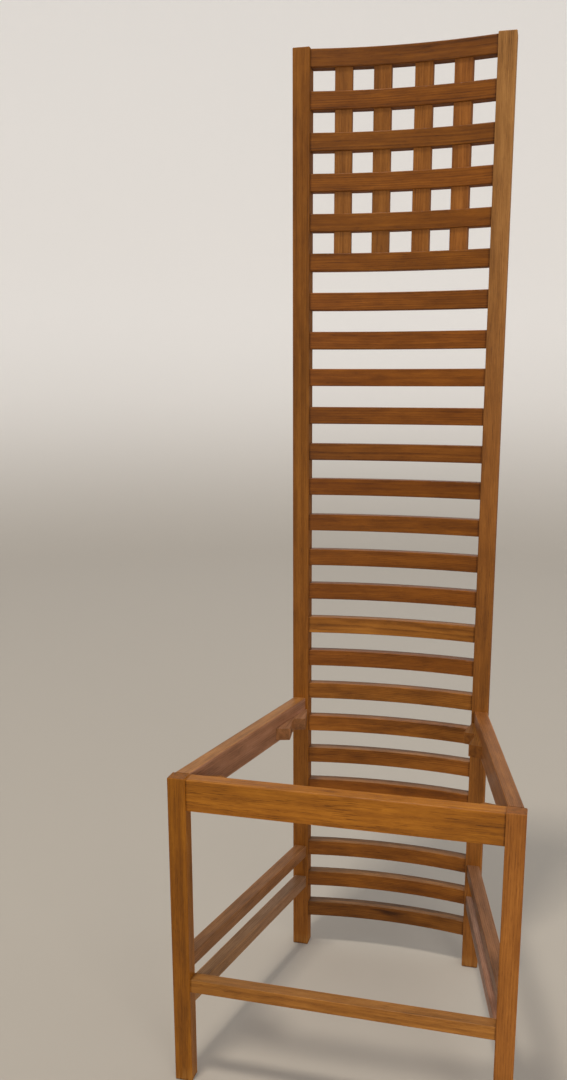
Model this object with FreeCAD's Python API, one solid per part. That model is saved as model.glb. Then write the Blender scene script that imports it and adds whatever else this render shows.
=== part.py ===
import FreeCAD, Part
import math
import os

os.makedirs("parts", exist_ok=True)

V = FreeCAD.Vector

# ---------------------------------------------------------------- driving dimensions, mm
# +Z up, the sitter faces -Y, X = 0 is the middle of the chair, Z = 0 is the floor.
back_width = 315.0          # over the outer faces of the two back posts
post_w = 25.5               # back post, across the chair
post_d = 24.0               # back post, front to back
post_h = 1412.0             # floor to top of the back posts
front_width = 455.0         # over the outer faces of the two front legs
leg_w = 24.5                # front leg, across the chair
leg_d = 21.0                # front leg, front to back
leg_h = 444.5               # floor to top of the front legs
plan_depth = 365.0          # front face of the legs to front face of the posts

ladder_top = 1409.5         # top of the crest rail
ladder_pitch = 55.36        # top of one cross member to top of the next
n_lattice = 6               # cross members that carry the lattice, crest included
n_rungs = 19                # plain rungs below them
lattice_h = 24.9            # height of a lattice rail
lattice_rise = 0.5          # lattice rails stand this much above the even pitch
# hand-set cross members, counted from the crest, that stand above or below the even pitch
off_pitch = {0: 0.5, 7: -1.0, 9: -1.5, 10: -1.4, 12: -0.6, 13: -0.6,
             16: 0.6, 17: 0.6, 19: 0.6, 23: -0.9, 24: -1.8}
rung_h = 25.4               # height of a rung
cross_t = 18.0              # thickness of rails and rungs, front to back
cross_bow = 11.7            # how far the middle bows to the rear
cross_set = 4.6             # front of a rung behind the front of the posts, at the ends

slat_x = (-85.0, -29.4, 29.4, 85.0)   # centres of the upright slats of the lattice
slat_n = len(slat_x)
slat_w = 25.3
slat_set = 2.6              # slat face behind the rail face
lap_d = 9.0                 # rail thickness kept in front of a slat at each lap

rail_top = 444.5            # side seat rails
rail_h = 42.6
rail_t = 19.5
rail_out_back = 156.5       # outer face of a side rail at the post face
rail_splay = 0.1965         # how far it runs outward per mm toward the front
front_rail_top = 443.0
front_rail_h = 43.4
front_rail_t = 20.0
front_rail_set = 3.0        # front rail face behind the leg face

stretch_s = 19.3            # side stretchers, square
stretch_top_hi = 183.4
stretch_top_lo = 128.1
stretch_mid_back = 144.6    # centre line at the post face
stretch_splay = 0.2055
front_stretch_t = 18.0      # front stretcher, front to back
front_stretch_h = 18.9
front_stretch_top = 155.5
front_stretch_set = 2.5

tenon_t = 8.0               # tenon thickness
tenon_cross = 12.0          # length of the tenons of rails and rungs
tenon_post = 9.5            # length of tenons entering the post faces
tenon_leg = 12.0            # length of tenons entering the front legs
fit_gap = 0.10              # glue line round a tenon
end_gap = 1.0               # room at the bottom of a mortise

block_top = 425.5           # seat blocks in the four corners of the frame
block_h = 18.5
screw_sunk = 4.5            # block screws sit this far below the face of the block
screw_d = 4.0
screw_head_d = 7.6
screw_head_h = 2.6
ease = 1.0                  # softened arrises
cross_ease = 1.3            # softened arrises of the bowed pieces

# ---------------------------------------------------------------- derived
inner = back_width / 2.0 - post_w            # half the clear width between the posts
leg_in = front_width / 2.0 - leg_w           # inner face of a front leg
front_y = -plan_depth                        # working frame: Y = 0 on the post faces
leg_back = front_y + leg_d
arc_r = (inner ** 2 + cross_bow ** 2) / (2.0 * cross_bow)
arc_y = cross_set + cross_bow - arc_r        # centre of the bow, on X = 0
deep_y = cross_set + cross_bow + cross_t     # rearmost point, back of a rung at mid width
shift_y = (plan_depth - deep_y) / 2.0        # brings the outline's middle to Y = 0
PLACE = V(0, shift_y, 0)

made = []


def put(name, shape):
    s = shape.Solids[0].copy() if len(shape.Solids) == 1 else shape.copy()
    s.translate(PLACE)
    s.exportStep("parts/" + name + ".step")
    made.append((name, s))


def box(x0, x1, y0, y1, z0, z1):
    a, b = min(x0, x1), max(x0, x1)
    return Part.makeBox(b - a, y1 - y0, z1 - z0, V(a, y0, z0))


def prism(points, z0, z1):
    pts = [V(p[0], p[1], z0) for p in points]
    face = Part.Face(Part.makePolygon(pts + [pts[0]]))
    return face.extrude(V(0, 0, z1 - z0))


def mirror(shape):
    return shape.mirror(V(0, 0, 0), V(1, 0, 0))


def soften(shape, radius, test):
    picked = [e for e in shape.Edges if test(e)]
    return shape.makeFillet(radius, picked) if picked else shape


def ends(e):
    return e.Vertexes[0].Point, e.Vertexes[-1].Point


def upright(e):
    a, b = ends(e)
    return abs(a.x - b.x) < 1e-6 and abs(a.y - b.y) < 1e-6 and abs(a.z - b.z) > 1.0


def level_at(z):
    def test(e):
        a, b = ends(e)
        return abs(a.z - z) < 1e-6 and abs(b.z - z) < 1e-6
    return test


# ---------------------------------------------------------------- cross members
def level_top(k):
    return ladder_top - k * ladder_pitch + (lattice_rise if k < n_lattice else 0.0) + off_pitch.get(k, 0.0)


def cross_height(k):
    return lattice_h if k < n_lattice else rung_h


def bowed_bar(z0, z1):
    y_front = cross_set
    r_back = arc_r + cross_t
    y_rear = arc_y + math.sqrt(r_back ** 2 - inner ** 2)
    p1, p2 = V(-inner, y_front, z0), V(inner, y_front, z0)
    p3, p4 = V(inner, y_rear, z0), V(-inner, y_rear, z0)
    wire = Part.Wire([
        Part.Arc(p1, V(0, arc_y + arc_r, z0), p2).toShape(),
        Part.makeLine(p2, p3),
        Part.Arc(p3, V(0, arc_y + r_back, z0), p4).toShape(),
        Part.makeLine(p4, p1),
    ])
    bar = Part.Face(wire).extrude(V(0, 0, z1 - z0))
    long_edges = [e for e in bar.Edges if e.Length > inner]
    return bar.makeFillet(cross_ease, long_edges)


tenon_y0 = 10.5


def cross_tenon(side, z0, z1, extra=0.0, deep=0.0, root=1.0):
    return box(side * (inner - root), side * (inner + tenon_cross + deep),
               tenon_y0 - extra, tenon_y0 + tenon_t + extra,
               z0 + 4.2 - extra, z1 - 4.2 + extra)


def slat_angle(i):
    return -math.degrees(math.asin(slat_x[i] / (arc_r + slat_set)))


def radial_box(i, half, r0, r1, z0, z1):
    b = box(-half, half, arc_y + r0, arc_y + r1, z0, z1)
    b.rotate(V(0, arc_y, 0), V(0, 0, 1), slat_angle(i))
    return b


for k in range(n_lattice + n_rungs):
    top = level_top(k)
    h = cross_height(k)
    bar = bowed_bar(top - h, top)
    for side in (-1, 1):
        bar = bar.fuse(cross_tenon(side, top - h, top))
    bar = bar.removeSplitter()
    if k < n_lattice:
        for i in range(slat_n):
            half = slat_w / 2.0 + fit_gap
            if k == 0:          # stub mortise in the underside of the crest
                bar = bar.cut(radial_box(i, half - 3.0, arc_r + slat_set + 3.4,
                                         arc_r + cross_t - 3.4, top - h - 1.0, top - h + 9.0))
            elif k == n_lattice - 1:   # stub mortise in the upper side of the lowest rail
                bar = bar.cut(radial_box(i, half - 3.0, arc_r + slat_set + 3.4,
                                         arc_r + cross_t - 3.4, top - 9.0, top + 1.0))
            else:               # lap cut from the rear
                bar = bar.cut(radial_box(i, half, arc_r + lap_d,
                                         arc_r + cross_t + 8.0, top - h - 1.0, top + 1.0))
    if k == 0:
        name = "crest_rail"
    elif k < n_lattice:
        name = "lattice_rail_%d" % k
    else:
        name = "rung_%02d" % (k - n_lattice + 1)
    put(name, bar)

# ---------------------------------------------------------------- lattice slats
z_hi = level_top(0) - lattice_h
z_lo = level_top(n_lattice - 1)
for i in range(slat_n):
    b = box(-slat_w / 2.0, slat_w / 2.0, arc_y + arc_r + slat_set,
            arc_y + arc_r + cross_t - 0.4, z_lo, z_hi)
    b = soften(b, 1.0, upright)
    b = b.fuse(box(-slat_w / 2.0 + 3.0, slat_w / 2.0 - 3.0, arc_y + arc_r + slat_set + 3.5,
                   arc_y + arc_r + cross_t - 3.5, z_lo - 8.0, z_hi + 8.0)).removeSplitter()
    for k in range(1, n_lattice - 1):
        top = level_top(k)
        b = b.cut(box(-slat_w, slat_w, arc_y + arc_r - 5.0, arc_y + arc_r + lap_d + fit_gap,
                      top - lattice_h - fit_gap, top + fit_gap))
    b.rotate(V(0, arc_y, 0), V(0, 0, 1), slat_angle(i))
    put("lattice_slat_%d" % (i + 1), b)


# ---------------------------------------------------------------- seat rails and stretchers, right side
def rail_x(y):
    return rail_out_back - rail_splay * y


rail_dx = rail_t * math.sqrt(1.0 + rail_splay ** 2)


def rail_strip(y0, y1, cx0, cx1, z0, z1):
    return prism([(rail_x(y0) - cx0, y0), (rail_x(y0) - cx1, y0),
                  (rail_x(y1) - cx1, y1), (rail_x(y1) - cx0, y1)], z0, z1)


rail_low = rail_top - rail_h
t_lo, t_hi = rail_dx / 2.0 - tenon_t / 2.0, rail_dx / 2.0 + tenon_t / 2.0
rail_post_z = (rail_low + 6.5, rail_top - 6.5)
rail_leg_z = (rail_top - 19.5, rail_top - 5.5)


def rail_tenon_post(g, d):
    return rail_strip(-1.0 if g == 0 else 0.0, tenon_post + d, t_lo - g, t_hi + g,
                      rail_post_z[0] - g, rail_post_z[1] + g)


def rail_tenon_leg(g, d):
    return rail_strip(leg_back - tenon_leg - d, leg_back + (1.0 if g == 0 else 0.0), t_lo - g, t_hi + g,
                      rail_leg_z[0] - g, rail_leg_z[1] + g)


def long_side(e):
    a, b = ends(e)
    return abs(a.y - b.y) > 200.0 and abs(a.z - b.z) < 1e-6


rail = rail_strip(leg_back, 0.0, 0.0, rail_dx, rail_low, rail_top)
rail = soften(rail, ease + 0.5, long_side)
rail = rail.fuse(rail_tenon_post(0, 0)).fuse(rail_tenon_leg(0, 0)).removeSplitter()


def stretch_x(y):
    return stretch_mid_back - stretch_splay * y


stretch_dx = stretch_s * math.sqrt(1.0 + stretch_splay ** 2) / 2.0


def stretch_strip(y0, y1, half, z0, z1):
    return prism([(stretch_x(y0) + half, y0), (stretch_x(y0) - half, y0),
                  (stretch_x(y1) - half, y1), (stretch_x(y1) + half, y1)], z0, z1)


def stretch_tenons(top, g, d):
    z0, z1 = top - stretch_s + 3.4 - g, top - 3.4 + g
    root = 1.0 if g == 0 else 0.0
    return (stretch_strip(-root, tenon_post + d, tenon_t / 2.0 + g, z0, z1),
            stretch_strip(leg_back - tenon_leg - d, leg_back + root, tenon_t / 2.0 + g, z0, z1))


stretchers = []
for top in (stretch_top_hi, stretch_top_lo):
    s = stretch_strip(leg_back, 0.0, stretch_dx, top - stretch_s, top)
    s = soften(s, ease, long_side)
    a, b = stretch_tenons(top, 0, 0)
    stretchers.append(s.fuse(a).fuse(b).removeSplitter())

# front rail and front stretcher
fr_y0 = front_y + front_rail_set
fr_y1 = fr_y0 + front_rail_t
fr_z0 = front_rail_top - front_rail_h
fs_y0 = front_y + front_stretch_set
fs_y1 = fs_y0 + front_stretch_t
fs_z0 = front_stretch_top - front_stretch_h


def front_rail_tenon(side, g, d):
    root = 1.0 if g == 0 else 0.0
    return box(side * (leg_in - root), side * (leg_in + tenon_leg + d),
               (fr_y0 + fr_y1) / 2.0 - tenon_t / 2.0 - g, (fr_y0 + fr_y1) / 2.0 + tenon_t / 2.0 + g,
               fr_z0 + 4.5 - g, fr_z0 + 20.5 + g)


def front_stretch_tenon(side, g, d):
    root = 1.0 if g == 0 else 0.0
    return box(side * (leg_in - root), side * (leg_in + tenon_leg + d),
               (fs_y0 + fs_y1) / 2.0 - tenon_t / 2.0 - g, (fs_y0 + fs_y1) / 2.0 + tenon_t / 2.0 + g,
               fs_z0 + 3.0 - g, front_stretch_top - 3.0 + g)


def across(e):
    a, b = ends(e)
    return abs(a.x - b.x) > 200.0


def top_front(e):
    a, b = ends(e)
    return across(e) and a.z > front_rail_top - 0.1 and a.y < fr_y0 + 0.1


front_rail = box(-leg_in, leg_in, fr_y0, fr_y1, fr_z0, front_rail_top)
front_rail = front_rail.makeFillet(3.0, [e for e in front_rail.Edges if top_front(e)])
front_rail = front_rail.makeFillet(ease, [e for e in front_rail.Edges
                                          if across(e) and (abs(ends(e)[0].y - fr_y1) < 1e-6
                                                            or abs(ends(e)[0].z - fr_z0) < 1e-6)])
front_stretch = box(-leg_in, leg_in, fs_y0, fs_y1, fs_z0, front_stretch_top)
front_stretch = soften(front_stretch, ease, across)
for side in (-1, 1):
    front_rail = front_rail.fuse(front_rail_tenon(side, 0, 0))
    front_stretch = front_stretch.fuse(front_stretch_tenon(side, 0, 0))
front_rail = front_rail.removeSplitter()
front_stretch = front_stretch.removeSplitter()

# ---------------------------------------------------------------- posts and legs, right side
post = box(inner, back_width / 2.0, 0.0, post_d, 0.0, post_h)
post = soften(post, 1.6, upright)
post = soften(post, 1.2, level_at(post_h))
post = post.makeChamfer(1.4, [e for e in post.Edges if level_at(0.0)(e)])
for k in range(n_lattice + n_rungs):
    top = level_top(k)
    post = post.cut(cross_tenon(1, top - cross_height(k), top, fit_gap, end_gap, 0.0))
post = post.cut(rail_tenon_post(fit_gap, end_gap))
for top in (stretch_top_hi, stretch_top_lo):
    post = post.cut(stretch_tenons(top, fit_gap, end_gap)[0])

leg = box(leg_in, front_width / 2.0, front_y, leg_back, 0.0, leg_h)
leg = soften(leg, 1.6, upright)
leg = soften(leg, 1.5, level_at(leg_h))
leg = leg.makeChamfer(1.4, [e for e in leg.Edges if level_at(0.0)(e)])
leg = leg.cut(front_rail_tenon(1, fit_gap, end_gap))
leg = leg.cut(front_stretch_tenon(1, fit_gap, end_gap))
leg = leg.cut(rail_tenon_leg(fit_gap, end_gap))
for top in (stretch_top_hi, stretch_top_lo):
    leg = leg.cut(stretch_tenons(top, fit_gap, end_gap)[1])

# ---------------------------------------------------------------- corner blocks, right side
block_low = block_top - block_h


def rail_in(y):
    return rail_x(y) - rail_dx


# the rear block is wide at its front end, thin in the middle and wide again before the post
rear_pts = [(rail_in(-102.0), -102.0), (136.4, -96.0), (141.5, -63.0), (141.5, -50.0),
            (125.0, -45.0), (133.5, 0.0), (rail_in(0.0), 0.0)]
cy = fr_y1
# the front block is a short one, tucked behind the front rail
front_pts = [(rail_in(-303.0), -303.0), (174.5, -297.5), (163.5, -307.0),
             (150.0, -312.5), (146.0, cy), (rail_in(cy), cy)]


def make_block(points):
    b = prism(points, block_low, block_top)
    b = soften(b, 1.2, lambda e: upright(e) and e.Vertexes[0].Point.x < rail_in(e.Vertexes[0].Point.y) - 2.0
               and abs(e.Vertexes[0].Point.y) > 1e-6 and abs(e.Vertexes[0].Point.y - cy) > 1e-6)
    return b


rear_block = make_block(rear_pts)
front_block = make_block(front_pts)


def screw(at, along, length):
    head = Part.makeCone(screw_head_d / 2.0, screw_d / 2.0, screw_head_h, V(0, 0, 0), V(0, 0, 1))
    shank = Part.makeCylinder(screw_d / 2.0, length - screw_head_h - 5.0, V(0, 0, screw_head_h), V(0, 0, 1))
    tip = Part.makeCone(screw_d / 2.0, 0.4, 5.0, V(0, 0, length - 5.0), V(0, 0, 1))
    s = head.fuse(shank).fuse(tip).removeSplitter()
    for w, d in ((4.2, 0.9), (0.9, 4.2)):
        s = s.cut(Part.makeBox(w, d, 1.4, V(-w / 2.0, -d / 2.0, -0.1)))
    s.Placement = FreeCAD.Placement(at, FreeCAD.Rotation(V(0, 0, 1), along))
    return s


def screw_hole(at, along, length):
    g = 0.06
    head = Part.makeCone(screw_head_d / 2.0 + g, screw_d / 2.0 + g, screw_head_h, V(0, 0, 0), V(0, 0, 1))
    shank = Part.makeCylinder(screw_d / 2.0 + g, length - screw_head_h + 1.5, V(0, 0, screw_head_h), V(0, 0, 1))
    mouth = Part.makeCylinder(screw_head_d / 2.0 + g, 12.0, V(0, 0, -12.0), V(0, 0, 1))
    s = head.fuse(shank).fuse(mouth)
    s.Placement = FreeCAD.Placement(at, FreeCAD.Rotation(V(0, 0, 1), along))
    return s


across_rail = V(1.0, rail_splay, 0)
across_rail.normalize()
zs = (block_low + block_top) / 2.0


def on_block(points, k, y):
    (xa, ya), (xb, yb) = points[k], points[k + 1]
    return xa + (xb - xa) * (y - ya) / (yb - ya)


def sunk(x, y, along, deep, lift=0.0):
    return V(x, y, zs + lift) + along * deep


rear_a = (sunk(on_block(rear_pts, 1, -80.0), -80.0, across_rail, screw_sunk), across_rail, 22.0)
rear_b = (sunk(on_block(rear_pts, 4, -26.0), -26.0, across_rail, screw_sunk), across_rail, 22.0)
# the two screws of a front block pass one above the other
front_a = (sunk(on_block(front_pts, 3, -326.0), -326.0, across_rail, screw_sunk, 4.2), across_rail, 60.0)
front_b = (sunk(168.0, -303.1, V(0, -1, 0), screw_sunk + 0.5, -4.2), V(0, -1, 0), 45.0)

screws = []
for at, along, length in (rear_a, rear_b):
    hole = screw_hole(at, along, length)
    rear_block = rear_block.cut(hole)
    rail = rail.cut(hole)
    screws.append(screw(at, along, length))
for at, along, length in (front_a, front_b):
    hole = screw_hole(at, along, length)
    front_block = front_block.cut(hole)
    rail = rail.cut(hole)
    screws.append(screw(at, along, length))
    for side_hole in (hole, mirror(hole)):
        front_rail = front_rail.cut(side_hole)

# ---------------------------------------------------------------- write every piece
put("front_seat_rail", front_rail)
put("front_stretcher", front_stretch)
for tag, turn in (("right", lambda s: s), ("left", mirror)):
    put("back_post_" + tag, turn(post))
    put("front_leg_" + tag, turn(leg))
    put("side_seat_rail_" + tag, turn(rail))
    put("side_stretcher_upper_" + tag, turn(stretchers[0]))
    put("side_stretcher_lower_" + tag, turn(stretchers[1]))
    put("rear_block_" + tag, turn(rear_block))
    put("front_block_" + tag, turn(front_block))
put("block_screws", Part.makeCompound(screws + [mirror(s) for s in screws]))

total = Part.makeCompound([s for _, s in made]).BoundBox
print("pieces", len(made))
print("box", [round(v, 2) for v in (total.XMin, total.YMin, total.ZMin, total.XMax, total.YMax, total.ZMax)])
for name, s in made:
    print(name, s.ShapeType, len(s.Solids), "valid" if s.isValid() else "BAD", round(s.Volume, 1))
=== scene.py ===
import math
import random

import bmesh
import bpy
from mathutils import Matrix, Vector


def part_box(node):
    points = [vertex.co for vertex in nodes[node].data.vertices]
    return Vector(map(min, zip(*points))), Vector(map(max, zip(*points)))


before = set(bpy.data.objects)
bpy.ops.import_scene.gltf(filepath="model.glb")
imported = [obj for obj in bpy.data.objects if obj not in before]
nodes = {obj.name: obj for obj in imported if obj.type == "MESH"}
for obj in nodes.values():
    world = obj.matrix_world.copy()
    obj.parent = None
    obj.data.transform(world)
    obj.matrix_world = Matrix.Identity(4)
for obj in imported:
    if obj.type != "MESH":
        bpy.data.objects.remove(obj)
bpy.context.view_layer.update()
scene = bpy.context.scene

# ------------------------------------------------------------------ the chair's plan, in metres
INNER = 0.132          # half the clear width between the back posts
ARC_R = (INNER ** 2 + 0.0117 ** 2) / (2 * 0.0117)   # bow of the rungs
ARC_Y = 0.16535 + 0.0046 + 0.0117 - ARC_R
CROSS_T = 0.018


# ------------------------------------------------------------------ node helpers
class Graph:
    """A material's node tree, written as calls that return sockets."""

    def __init__(self, name):
        self.mat = bpy.data.materials.new(name)
        self.mat.use_nodes = True
        self.tree = self.mat.node_tree
        self.tree.nodes.clear()

    def node(self, kind, **props):
        n = self.tree.nodes.new(kind)
        for k, v in props.items():
            setattr(n, k, v)
        return n

    def feed(self, socket, value):
        if isinstance(value, bpy.types.NodeSocket):
            self.tree.links.new(value, socket)
        elif value is not None:
            socket.default_value = value

    def math(self, op, a, b=None, c=None, clamp=False):
        n = self.node("ShaderNodeMath", operation=op, use_clamp=clamp)
        for s, v in zip(n.inputs, (a, b, c)):
            self.feed(s, v)
        return n.outputs[0]

    def add(self, *vals):
        out = vals[0]
        for v in vals[1:]:
            out = self.math("ADD", out, v)
        return out

    def mul(self, *vals):
        out = vals[0]
        for v in vals[1:]:
            out = self.math("MULTIPLY", out, v)
        return out

    def vec(self, op, a, b=None):
        n = self.node("ShaderNodeVectorMath", operation=op)
        self.feed(n.inputs[0], a)
        if b is not None:
            self.feed(n.inputs[1], b)
        return n.outputs["Value" if op in ("LENGTH", "DISTANCE", "DOT_PRODUCT") else "Vector"]

    def join(self, x, y, z):
        n = self.node("ShaderNodeCombineXYZ")
        for s, v in zip(n.inputs, (x, y, z)):
            self.feed(s, v)
        return n.outputs[0]

    def split(self, v):
        n = self.node("ShaderNodeSeparateXYZ")
        self.feed(n.inputs[0], v)
        return n.outputs[0], n.outputs[1], n.outputs[2]

    def noise(self, v, scale=1.0, detail=2.0, rough=0.5, warp=0.0):
        n = self.node("ShaderNodeTexNoise", noise_dimensions="3D")
        self.feed(n.inputs["Vector"], v)
        n.inputs["Scale"].default_value = scale
        n.inputs["Detail"].default_value = detail
        n.inputs["Roughness"].default_value = rough
        n.inputs["Distortion"].default_value = warp
        return n.outputs[0]

    def white(self, w):
        n = self.node("ShaderNodeTexWhiteNoise", noise_dimensions="1D")
        self.feed(n.inputs["W"], w)
        return n.outputs["Value"]

    def fit(self, v, a, b, c=0.0, d=1.0, kind="SMOOTHSTEP"):
        n = self.node("ShaderNodeMapRange", interpolation_type=kind)
        for s, x in zip(n.inputs[:5], (v, a, b, c, d)):
            self.feed(s, x)
        return n.outputs[0]

    def ramp(self, v, stops, kind="LINEAR"):
        n = self.node("ShaderNodeValToRGB")
        r = n.color_ramp
        r.interpolation = kind
        while len(r.elements) < len(stops):
            r.elements.new(0.5)
        for e, (p, c) in zip(r.elements, stops):
            e.position = p
            e.color = (c, c, c, 1) if isinstance(c, (int, float)) else (*c, 1)
        self.feed(n.inputs[0], v)
        return n.outputs[0]

    def mix(self, f, a, b, blend="MIX"):
        n = self.node("ShaderNodeMix", data_type="RGBA", blend_type=blend)
        self.feed(n.inputs[0], f)
        for s, v in ((n.inputs[6], a), (n.inputs[7], b)):
            self.feed(s, (*v, 1) if isinstance(v, tuple) and len(v) == 3 else v)
        return n.outputs[2]

    def bump(self, h, strength, distance, normal=None):
        n = self.node("ShaderNodeBump")
        n.inputs["Strength"].default_value = strength
        n.inputs["Distance"].default_value = distance
        self.feed(n.inputs["Height"], h)
        if normal is not None:
            self.feed(n.inputs["Normal"], normal)
        return n.outputs[0]

    def finish(self, **inputs):
        s = self.node("ShaderNodeBsdfPrincipled")
        for k, v in inputs.items():
            self.feed(s.inputs[k.replace("_", " ")], v)
        out = self.node("ShaderNodeOutputMaterial")
        self.tree.links.new(s.outputs[0], out.inputs[0])
        return self.mat


# ------------------------------------------------------------------ stained oak
def oak(name, seed, where, half, cut, tint=(1.0, 1.0, 1.0), figure=1.0, band=1.0, dash=0.3, patch=1.0, ends=None, foot=0.0,
        knot=None, bleach=None, face=(), dull=None):
    """One board of stained, satin-finished oak.
    where: how the board lies, as (kind, centre, turn). half: half its two cross sizes. cut: place of the tree's heart
    in the cross-section, which sets whether a face shows straight lines or broad figure. figure: how far the rings
    wander.
    band, dash, patch: strength of the growth rings, of the long dark dashes and of the colour drift along the board.
    ends: half its length, for the dark shoulders, a painted shade where the board meets the posts. foot: half its
    length, for the worn, paler foot, which turns darker over its last few millimetres. knot: a dark figure at (along,
    across).
    bleach: (from, to) along the board, where it pales. face: pairs (axis, tint) for the sides that look along that
    axis, painted light and shade such as a cool sheen on sides and tops.
    dull: axis of the sides whose finish was never rubbed to a sheen, such as undersides and the insides of the lattice."""
    g = Graph("oak_" + name)
    rnd = random.Random(seed)
    kind, centre, turn = where
    co = g.node("ShaderNodeTexCoord").outputs["Object"]
    geo = g.node("ShaderNodeNewGeometry")
    if kind == "bow":
        x, y, z = g.split(co)
        reach = g.vec("LENGTH", g.join(x, g.math("SUBTRACT", y, ARC_Y), 0.0))
        u, v, w = x, g.math("SUBTRACT", reach, ARC_R + CROSS_T / 2), g.math("SUBTRACT", z, centre[2])
        along = g.math("ABSOLUTE", g.split(geo.outputs["True Normal"])[0])
    else:
        m = g.node("ShaderNodeMapping", vector_type="TEXTURE")
        g.feed(m.inputs["Vector"], co)
        m.inputs["Location"].default_value = centre
        m.inputs["Rotation"].default_value = (0, 0, turn)
        a, b, c = g.split(m.outputs[0])
        nx, ny, nz = g.split(geo.outputs["True Normal"])
        if kind == "up":
            u, v, w = c, a, b
            along = g.math("ABSOLUTE", nz)
        elif kind == "wide":
            u, v, w = a, b, c
            along = g.math("ABSOLUTE", nx)
        else:
            u, v, w = b, a, c
            along = g.math("ABSOLUTE", ny)
    end_grain = g.fit(along, 0.75, 0.97)
    shift = (rnd.uniform(-40, 40), rnd.uniform(-40, 40), rnd.uniform(-40, 40))

    def field(su, sv, sw, detail=2.0, rough=0.5, k=0.0, flow=None):
        a, b = flow or (v, w)
        p = g.join(g.math("MULTIPLY_ADD", u, su, shift[0] + k), g.math("MULTIPLY_ADD", a, sv, shift[1] + k),
                   g.math("MULTIPLY_ADD", b, sw, shift[2] - k))
        return g.noise(p, 1.0, detail, rough)

    def swing(f, k):
        return g.math("MULTIPLY", g.math("SUBTRACT", f, 0.5), k)

    # the grain wanders along the board, and swells round a knot
    va = g.add(v, swing(field(2.2, 14, 14, 2.0, 0.5, 3.0), 0.013 * figure), swing(field(9.0, 45, 45, 1.0, 0.5, 5.0), 0.0022))
    wa = g.add(w, swing(field(2.2, 14, 14, 2.0, 0.5, 63.0), 0.013 * figure), swing(field(9.0, 45, 45, 1.0, 0.5, 65.0), 0.0022))
    eye = None
    if knot:
        du, dw = g.math("SUBTRACT", u, knot[0]), g.math("SUBTRACT", w, knot[1])
        ragged = field(60, 260, 260, 2.0, 0.5, 71.0)
        far = g.vec("LENGTH", g.join(g.math("MULTIPLY", du, 0.20), dw, 0.0))
        eye = g.fit(g.math("ADD", far, swing(ragged, 0.006)), 0.0010, 0.0054, 1.0, 0.0)
        # with a thin dark streak that runs out of it along the grain
        tail = g.vec("LENGTH", g.join(g.math("MULTIPLY_ADD", du, 0.10, 0.0021), g.math("SUBTRACT", dw, 0.0030), 0.0))
        eye = g.math("MAXIMUM", eye, g.fit(g.math("ADD", tail, swing(ragged, 0.003)), 0.0006, 0.0026, 0.75, 0.0))
        swell = g.fit(far, 0.0, 0.016, 1.0, 0.0)
        wa = g.math("MULTIPLY_ADD", g.math("MULTIPLY", swell, dw), -0.75, wa)
    flow = (va, wa)

    # growth rings, by distance from the heart of the tree
    r = g.vec("LENGTH", g.join(g.math("SUBTRACT", va, cut[0]), g.math("SUBTRACT", wa, cut[1]), 0.0))
    ring_w = rnd.uniform(0.0019, 0.0027)
    t = g.math("DIVIDE", r, ring_w)
    saw = g.math("FRACT", t)
    year = g.white(g.math("ADD", g.math("FLOOR", t), shift[0]))
    early = g.ramp(saw, [(0.0, 0.55), (0.07, 1.0), (0.30, 0.72), (0.55, 0.18), (0.86, 0.0), (1.0, 0.42)], "B_SPLINE")
    rings = g.mul(early, g.math("MULTIPLY_ADD", year, 0.9, 0.25))

    # pores: short dark vessels in the early wood; dashes: the long dark ray ends of a flat-sawn face
    pores = g.mul(g.fit(field(95, 2400, 2400, 1.0, 0.5, 2.0, flow), 0.565, 0.66), g.math("MULTIPLY_ADD", early, 0.75, 0.25))
    crowd = g.fit(field(8.0, 110, 110, 2.0, 0.5, 77.0, flow), 0.36, 0.58)
    dashes = g.mul(g.fit(field(30, 780, 780, 2.0, 0.5, 9.0, flow), 0.570, 0.660), g.math("MULTIPLY_ADD", crowd, 0.60, 0.40))
    fibre = field(17, 1150, 1150, 2.0, 0.6, 14.0, flow)
    streak = field(1.6, 150, 150, 3.0, 0.55, 21.0, flow)
    fleck = g.fit(field(130, 330, 330, 1.0, 0.5, 88.0, flow), 0.62, 0.72)
    blotch = field(6.0, 26, 26, 3.0, 0.5, 33.0)
    cloud = field(1.7, 7, 7, 2.0, 0.5, 41.0)
    mottle = field(20, 105, 105, 2.0, 0.55, 101.0, flow)

    # distance in from the arrises
    ev = g.math("SUBTRACT", half[0], g.math("ABSOLUTE", v))
    ew = g.math("SUBTRACT", half[1], g.math("ABSOLUTE", w))
    scuff_n = field(60, 300, 300, 3.0, 0.65, 55.0)
    arris = g.fit(g.math("ADD", g.math("MAXIMUM", ev, ew), g.math("MULTIPLY", scuff_n, 0.0016)), 0.0004, 0.0028, 1.0, 0.0)
    wear = g.mul(arris, g.fit(scuff_n, 0.46, 0.66))

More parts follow.
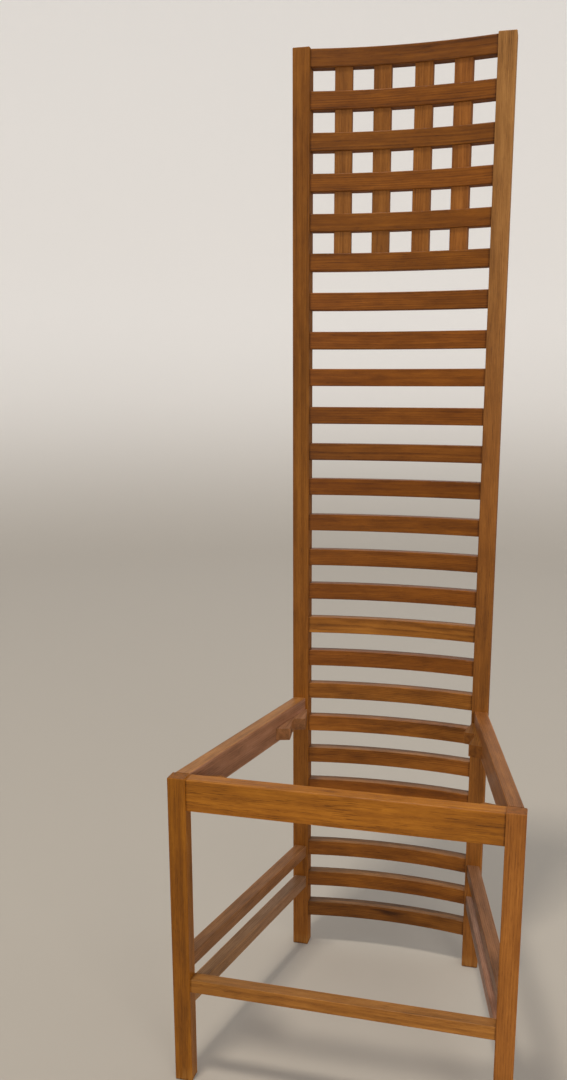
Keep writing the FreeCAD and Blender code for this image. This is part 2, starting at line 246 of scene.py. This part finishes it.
    tone = g.add(
        0.57,
        swing(streak, 0.40), swing(fibre, 0.28), swing(blotch, 0.32 * patch), swing(cloud, 0.22 * patch),
        swing(mottle, 0.38 * patch),
        g.math("MULTIPLY", rings, -0.16 * band),
        g.math("MULTIPLY", dashes, -0.30 * dash),
        g.math("MULTIPLY", pores, -0.17),
        g.math("MULTIPLY", fleck, 0.035),
        g.math("MULTIPLY", arris, 0.025),
        g.math("MULTIPLY", wear, 0.10),
    )
    if eye is not None:
        tone = g.math("MULTIPLY_ADD", eye, -0.36, tone)
    # dark shoulders: painted shade on the last few millimetres of the board, where it meets the posts
    if ends:
        shoulder_shade = g.fit(g.math("ADD", g.math("ABSOLUTE", u), g.math("MULTIPLY", scuff_n, 0.002)), ends - 0.0018, ends + 0.0012)
        tone = g.math("MULTIPLY_ADD", shoulder_shade, -0.16, tone)
    tone = g.math("MULTIPLY_ADD", end_grain, -0.13, tone)
    rough = g.add(0.43, swing(blotch, 0.14), g.math("MULTIPLY", pores, 0.16), g.math("MULTIPLY", fibre, 0.07),
                  g.math("MULTIPLY", end_grain, 0.10))
    if dull:
        unrubbed = g.vec("DOT_PRODUCT", geo.outputs["True Normal"], dull)
        if dull[2] == 0:
            unrubbed = g.math("ABSOLUTE", unrubbed)
        rough = g.math("MULTIPLY_ADD", g.fit(unrubbed, 0.25, 0.75), 0.46 if dull[2] == 0 else 0.36, rough)
    if foot:
        low = g.math("ADD", u, foot)
        worn = g.mul(g.fit(g.math("ADD", low, swing(blotch, 0.016)), 0.006, 0.026, 1.0, 0.0), g.fit(field(22, 420, 420, 2.0, 0.6, 91.0), 0.40, 0.58))
        # the last few millimetres above the floor are darker and rougher
        dark_base = g.fit(g.math("ADD", low, g.math("MULTIPLY", scuff_n, 0.004)), 0.0025, 0.0062, 1.0, 0.0)
        tone = g.add(tone, g.math("MULTIPLY", worn, 0.17), g.math("MULTIPLY", dark_base, -0.30))
        rough = g.add(rough, g.math("MULTIPLY", worn, 0.14), g.math("MULTIPLY", dark_base, 0.20))

    # the board's tint, which for some boards also carries painted light and shade
    def tint_and_light(c):
        return tuple(a * b for a, b in zip(c, tint))

    colour = g.ramp(tone, [
        (0.0, tint_and_light((0.036, 0.0100, 0.0014))),
        (0.25, tint_and_light((0.122, 0.0365, 0.0042))),
        (0.50, tint_and_light((0.248, 0.0800, 0.0094))),
        (0.75, tint_and_light((0.385, 0.1370, 0.0190))),
        (1.0, tint_and_light((0.560, 0.2400, 0.0560))),
    ])
    warm = g.fit(cloud, 0.40, 0.62)
    colour = g.mix(g.math("MULTIPLY", warm, 0.30), colour, g.mix(1.0, colour, (1.07, 0.92, 0.82), "MULTIPLY"))
    # painted light and shade on the sides that look along each axis: cool sheen, lighter or dimmer tops, painted shadow
    for axis, hue in face:
        looks = g.fit(g.vec("DOT_PRODUCT", geo.outputs["True Normal"], axis), 0.35, 0.75)
        colour = g.mix(looks, colour, g.mix(1.0, colour, hue, "MULTIPLY"))
    # painted light and shade along the board, from one end to the other
    if name in SHADE_ALONG:
        reach, first, last = SHADE_ALONG[name]
        colour = g.mix(1.0, colour, g.mix(g.fit(u, -reach, reach), first, last), "MULTIPLY")
    if foot:
        colour = g.mix(g.math("MULTIPLY", worn, 0.40), colour, (0.30, 0.150, 0.042))
    if bleach:
        pale = g.fit(g.math("ADD", u, swing(cloud, 0.30)), bleach[0], bleach[1])
        colour = g.mix(pale, colour, g.mix(1.0, colour, (1.42, 1.95, 4.2), "MULTIPLY"))

    height = g.add(g.math("MULTIPLY", pores, -1.0), g.math("MULTIPLY", dashes, -0.45 * dash), g.math("MULTIPLY", fibre, 0.30),
                   g.math("MULTIPLY", early, -0.18))
    n1 = g.bump(g.math("ADD", blotch, g.math("MULTIPLY", streak, 0.5)), 0.08, 0.0010)
    normal = g.bump(height, 0.28, 0.00030, n1)
    return g.finish(Base_Color=colour, Roughness=rough, Normal=normal, Specular_IOR_Level=0.22, Coat_Weight=0.05, Coat_Roughness=0.24)


def steel(name):
    """Dull zinc on the sunk screws, in darker and lighter spots."""
    g = Graph(name)
    co = g.node("ShaderNodeTexCoord").outputs["Object"]
    spot = g.noise(co, 900.0, 3.0, 0.6)
    turn = g.noise(co, 4200.0, 2.0, 0.5)
    colour = g.ramp(spot, [(0.30, (0.09, 0.08, 0.07)), (0.52, (0.26, 0.25, 0.23)), (0.75, (0.42, 0.40, 0.36))])
    rough = g.add(0.34, g.math("MULTIPLY", spot, 0.25), g.math("MULTIPLY", turn, 0.08))
    return g.finish(Base_Color=colour, Roughness=rough, Metallic=1.0, Normal=g.bump(turn, 0.15, 0.0001))


def dress(node, mat):
    for s in nodes[node].material_slots:
        s.material = mat


def mid(node):
    lo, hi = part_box(node)
    return (lo + hi) / 2, (hi - lo) / 2


# boards that stand out, lighter and more golden or darker than their neighbours: partly each board's own colour, partly
# painted light, as the cool grey tint on side rails, side stretchers and rear blocks stands in for window sheen
TINT_AND_LIGHT = {
    "front_seat_rail": (1.27, 1.37, 0.90),
    "front_stretcher": (1.34, 1.66, 2.45),
    "front_leg_left": (1.03, 1.07, 0.45),
    "front_leg_right": (1.20, 1.34, 1.66),
    "back_post_left": (0.80, 0.855, 0.78),
    "back_post_right": (0.87, 0.93, 0.92),
    "rung_01": (1.04, 1.05, 1.00),
    "rung_05": (0.90, 0.89, 0.92),
    "rung_07": (1.08, 1.06, 0.95),
    "rung_10": (1.31, 1.58, 2.40),
    "rung_11": (1.00, 1.01, 1.20),
    "rung_12": (1.13, 1.27, 1.80),
    "rung_13": (1.19, 1.30, 1.65),
    "rung_14": (1.00, 1.08, 1.40),
    "rung_04": (0.94, 0.94, 0.96),
    "rung_06": (0.83, 0.78, 0.45),
    "rung_08": (0.86, 0.85, 0.75),
    "rung_09": (0.84, 0.83, 0.75),
    "rung_17": (0.91, 0.94, 0.95),
    "rung_18": (0.94, 0.98, 1.00),
    "rung_19": (0.81, 0.90, 1.20),
    "crest_rail": (0.86, 0.90, 0.86),
    "lattice_rail_1": (0.95, 0.96, 0.88),
    "lattice_rail": (1.03, 1.07, 0.97),
    "side_stretcher_upper_left": (1.03, 1.20, 1.90),
    "side_stretcher_upper_right": (0.95, 1.10, 1.80),
    "side_stretcher_lower_left": (1.08, 1.35, 2.40),
    "side_stretcher_lower_right": (1.08, 1.35, 2.40),
    "side_seat_rail_left": (1.27, 1.61, 3.20),
    "side_seat_rail_right": (1.09, 1.30, 2.65),
    "lattice_slat": (1.21, 1.32, 1.68),
    "rear_block_left": (1.08, 1.46, 4.10),
    "rear_block_right": (1.36, 1.53, 1.75),
    "front_block": (0.95, 1.10, 1.30),
}


# painted light and shade on the sides that face up or into the chair: a cool sheen, lighter tops, and a painted shadow
# on the top of the right rear block
IN_LEFT, IN_RIGHT, TOP = (0.707, 0, 0.707), (-0.707, 0, 0.707), (0, 0, 1)
SIDE_LIGHT = {
    "side_seat_rail_left": [((1, 0, 0), (1.02, 1.13, 2.35))],
    "side_stretcher_upper_left": [(IN_LEFT, (1.00, 1.14, 2.02)), (TOP, (1.14, 1.14, 1.06))],
    "side_stretcher_upper_right": [(IN_RIGHT, (0.87, 1.04, 2.14))],
    "side_stretcher_lower_left": [(IN_LEFT, (1.05, 1.40, 3.00)), (TOP, (1.07, 1.06, 0.98))],
    "side_stretcher_lower_right": [(IN_RIGHT, (1.04, 1.36, 3.76))],
    "rear_block_left": [(TOP, (0.90, 1.0, 1.35))],
    "rear_block_right": [(TOP, (0.62, 0.68, 0.95))],
}

# painted light and shade along a board's length: half length, tint at the low, near or left end, tint at the other end
SHADE_ALONG = {
    "back_post_left": (0.70, (1.17, 1.17, 1.28), (0.90, 0.91, 0.90)),
    "back_post_right": (0.70, (1.18, 1.22, 1.45), (0.94, 0.92, 0.90)),
    "side_stretcher_lower_left": (0.16, (1.12, 1.08, 1.00), (0.94, 0.97, 1.20)),
    "side_stretcher_lower_right": (0.16, (1.34, 1.22, 1.18), (0.75, 0.81, 0.88)),
    "side_stretcher_upper_left": (0.16, (0.84, 0.84, 0.86), (1.18, 1.20, 1.40)),
    "side_stretcher_upper_right": (0.16, (1.14, 1.10, 1.05), (0.96, 1.00, 1.15)),
    "front_stretcher": (0.20, (0.88, 0.88, 0.84), (1.08, 1.08, 1.15)),
}


def shade(n, r, z, spread=0.035):
    k = 1.0 + r.uniform(-spread, spread)
    tint_light = next((TINT_AND_LIGHT[m] for m in TINT_AND_LIGHT if n.startswith(m)), (1.0, 1.0, 1.0))
    if n.startswith(("rung", "lattice", "crest")):
        # darker with height: painted shade that evens out the lamps, which light the upper back more strongly
        k *= 0.91 - 0.12 * min(1.0, max(0.0, (z - 0.45) / 0.30))
        if "slat" not in n:
            tint_light = (tint_light[0], tint_light[1] * 0.96, tint_light[2] * 0.68)
    return (tint_light[0] * k * (1 + r.uniform(-0.015, 0.02)), tint_light[1] * k, tint_light[2] * k * (1 + r.uniform(-0.08, 0.08)))


def heart(r, dist, angle, spread=14):
    a = math.radians(angle + r.uniform(-spread, spread))
    d = dist * r.uniform(0.75, 1.3)
    return (d * math.cos(a), d * math.sin(a))


for i, n in enumerate(sorted(nodes)):
    r = random.Random(1000 + 37 * i)
    c, h = mid(n)
    tint = shade(n, r, c.z)
    if n.startswith(("back_post", "front_leg")):
        dress(n, oak(n, 11 + i, ("up", c, 0.0), (h.x, h.y), heart(r, 0.11, 40), tint, figure=0.6, band=0.6, dash=0.40, patch=0.9, foot=h.z,
                     bleach=(-0.05, 0.78) if n == "back_post_right" else None, dull=None if n == "front_leg_left" else (1, 0, 0)))
    elif n.startswith("lattice_slat"):
        dress(n, oak(n, 11 + i, ("up", c, 0.0), (0.01265, h.y), heart(r, 0.13, 0, 75), tint, figure=0.9, band=0.6, dash=0.35,
                     dull=(1, 0, 0)))
    elif n == "crest_rail" or n.startswith(("lattice_rail", "rung")):
        knot = (0.009, 0.004) if n == "rung_19" else None
        # the lowest rungs' tops get a painted cool sheen
        dress(n, oak(n, 11 + i, ("bow", c, 0.0), (CROSS_T / 2, h.z), heart(r, 0.10, 35, 30), tint, figure=0.7, dash=0.30,
                     patch=1.5 if c.z < 0.46 else 1.1, ends=INNER, knot=knot, dull=(0, 0, -1),
                     face=[((0, 0, 1), (1.04, 1.36, 3.8))] if c.z < 0.36 else ()))
    elif n.startswith("front_s"):
        rail = n == "front_seat_rail"
        # the front stretcher's top gets painted shade with a cool sheen
        dress(n, oak(n, 11 + i, ("wide", c, 0.0), (h.y, h.z), heart(r, 0.07, 12, 6), tint, figure=0.8, band=0.6,
                     dash=0.85 if rail else 0.5, patch=1.0, ends=0.203, face=() if rail else [((0, 0, 1), (0.80, 0.86, 1.15))],
                     dull=(0, 0, -1)))
    elif n.startswith("side_"):
        left = n.endswith("left")
        slope = math.atan(0.1965 if "rail" in n else 0.2055)
        thick = 0.00975 if "rail" in n else 0.00965
        # painted sheen and light on the sides that face up and into the chair
        inner = SIDE_LIGHT.get(n, ())
        dress(n, oak(n, 11 + i, ("deep", c, -slope if left else slope), (thick, h.z), heart(r, 0.10, 35), tint, figure=0.7, dash=0.2, face=inner,
                     dull=(0, 0, -1)))
    elif n.endswith(("block_left", "block_right")):
        # painted sheen and shadow on the tops of the rear blocks
        upper = SIDE_LIGHT.get(n, ())
        dress(n, oak(n, 11 + i, ("deep", c, 0.0), (h.x, h.z), heart(r, 0.07, 60), tint, figure=0.7, face=upper))
dress("block_screws", steel("zinc_screws"))


# ------------------------------------------------------------------ floor that curves up far away, all round
def sweep(radius, rise, top, name):
    bm = bmesh.new()
    profile = [(radius * k / 8, 0.0) for k in range(9)]
    for k in range(1, 13):
        a = math.pi / 2 * k / 12
        profile.append((radius + rise * math.sin(a), rise * (1 - math.cos(a))))
    profile.append((radius + rise, top))
    rings = []
    seg = 96
    for p, z in profile[1:]:
        rings.append([bm.verts.new((p * math.cos(2 * math.pi * s / seg), p * math.sin(2 * math.pi * s / seg), z)) for s in range(seg)])
    hub = bm.verts.new((0, 0, 0))
    for s in range(seg):
        bm.faces.new((hub, rings[0][s], rings[0][(s + 1) % seg]))
    for a, b in zip(rings, rings[1:]):
        for s in range(seg):
            bm.faces.new((a[s], b[s], b[(s + 1) % seg], a[(s + 1) % seg]))
    for f in bm.faces:
        f.smooth = True
    me = bpy.data.meshes.new(name)
    bm.to_mesh(me)
    bm.free()
    ob = bpy.data.objects.new(name, me)
    scene.collection.objects.link(ob)
    return ob


floor = sweep(4.2, 2.0, 6.0, "floor")
g = Graph("pale_floor")
_, fy, fz = g.split(g.node("ShaderNodeTexCoord").outputs["Object"])
high = g.fit(fz, 0.0, 1.6)
glow = g.mul(g.fit(fz, -0.6, 1.0), g.fit(fy, -4.0, 4.0, 0.06, 0.29))
floor.data.materials.append(g.finish(Base_Color=g.mix(high, (0.43, 0.39, 0.335), (0.72, 0.70, 0.68)), Roughness=0.9, Specular_IOR_Level=0.2,
                                     Emission_Color=(1.0, 0.97, 0.94, 1.0), Emission_Strength=glow))


# ------------------------------------------------------------------ light
def softbox(name, at, to, size, power, colour):
    d = bpy.data.lights.new(name, "AREA")
    d.shape = "RECTANGLE"
    d.size, d.size_y = size
    d.energy = power
    d.color = colour
    o = bpy.data.objects.new(name, d)
    o.location = at
    o.rotation_euler = (Vector(to) - Vector(at)).to_track_quat("-Z", "Y").to_euler()
    o.visible_camera = False
    scene.collection.objects.link(o)
    return o


softbox("key", (2.3, -3.1, 1.2), (0, 0, 0.7), (1.4, 1.4), 45, (1.0, 0.95, 0.89))
softbox("lamp", (-0.56, -1.31, 5.25), (0, 0.16, 0.4), (0.6, 0.6), 120, (1.0, 0.94, 0.85))
softbox("side", (3.2, 0.9, 1.6), (0, 0, 0.6), (2.0, 2.2), 8, (0.82, 0.89, 1.0))

world = bpy.data.worlds.new("studio")
scene.world = world
world.use_nodes = True
bg = world.node_tree.nodes["Background"]
bg.inputs[0].default_value = (0.97, 0.985, 1.0, 1)
bg.inputs[1].default_value = 0.42

# ------------------------------------------------------------------ camera
yaw, pitch, roll = 0.2375712, -0.2091382, 0.0046082
eye = Vector((0.2337494, -1.4430550 + 0.16535, 0.9288056))
focal, px, py = 955.70, 318.2705, 597.1337
ahead = Vector((-math.sin(yaw) * math.cos(pitch), math.cos(yaw) * math.cos(pitch), math.sin(pitch)))
right = Vector((math.cos(yaw), math.sin(yaw), 0))
up = right.cross(ahead)
r2 = right * math.cos(roll) + up * math.sin(roll)
u2 = up * math.cos(roll) - right * math.sin(roll)
cam = bpy.data.cameras.new("camera")
cam.sensor_width = 36
cam.lens = 36 * focal / 1080
cam.shift_x = (283.5 - px) / 1080
cam.shift_y = (py - 540) / 1080
cam.clip_start, cam.clip_end = 0.05, 60
camera = bpy.data.objects.new("camera", cam)
camera.matrix_world = Matrix((
    (r2.x, u2.x, -ahead.x, eye.x),
    (r2.y, u2.y, -ahead.y, eye.y),
    (r2.z, u2.z, -ahead.z, eye.z),
    (0, 0, 0, 1),
))
scene.collection.objects.link(camera)
scene.camera = camera
scene.view_settings.view_transform = "Standard"
scene.view_settings.look = "None"
scene.view_settings.exposure = 0.0

bpy.context.view_layer.update()
